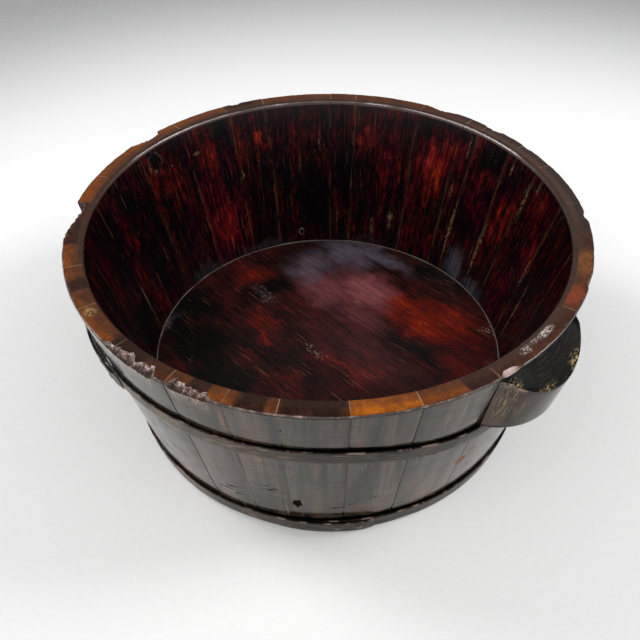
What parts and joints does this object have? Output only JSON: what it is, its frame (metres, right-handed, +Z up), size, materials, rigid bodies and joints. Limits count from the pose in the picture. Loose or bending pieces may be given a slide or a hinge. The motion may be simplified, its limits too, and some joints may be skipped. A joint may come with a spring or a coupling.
{
  "type": "washing tub",
  "caption": "Round coopered wooden washing tub in worn dark lacquer, flared from foot to rim, with strap hoops, a boarded floor and a half-round hand lug.",
  "frame": {"origin": "on the tub's axis, at the level that its staves stand on", "axes": "+Z up along the tub's axis, +X towards the hand lug"},
  "size_m": [0.5005, 0.4793, 0.21],
  "materials": {
    "stave_lacquer": "dark brown-black lacquer, glossy, worn to orange-brown wood on the rim",
    "floor_lacquer": "dark red-brown lacquer, glossy, with the grain showing through",
    "seam_putty": "old putty, matt",
    "hoop_strap": "iron strap lacquered over with the wall, worn brown along the edges",
    "bamboo_peg": "bare bamboo"
  },
  "bodies": {
    "root": {"stave_01": "stave_lacquer", "stave_02": "stave_lacquer", "stave_03": "stave_lacquer", "stave_04": "stave_lacquer", "stave_05": "stave_lacquer", "stave_06": "stave_lacquer", "stave_07": "stave_lacquer", "stave_08": "stave_lacquer", "stave_09": "stave_lacquer", "stave_10": "stave_lacquer", "stave_11": "stave_lacquer", "stave_12": "stave_lacquer", "stave_13": "stave_lacquer", "stave_14": "stave_lacquer", "stave_15": "stave_lacquer", "stave_16": "stave_lacquer", "stave_17": "stave_lacquer", "stave_18": "stave_lacquer", "stave_19": "stave_lacquer", "stave_20": "stave_lacquer", "stave_21": "stave_lacquer", "stave_22": "stave_lacquer", "stave_23": "stave_lacquer", "stave_24": "stave_lacquer", "stave_25": "stave_lacquer", "handle_stave": "stave_lacquer", "floor_board_1": "floor_lacquer", "floor_board_2": "floor_lacquer", "floor_board_3": "floor_lacquer", "floor_board_4": "floor_lacquer", "floor_seam": "seam_putty", "upper_hoop": "hoop_strap", "lower_hoop": "hoop_strap", "upper_hoop_rivets": "hoop_strap", "lower_hoop_rivets": "hoop_strap", "stave_pegs": "bamboo_peg", "floor_pegs": "bamboo_peg"}
  },
  "joints": []
}
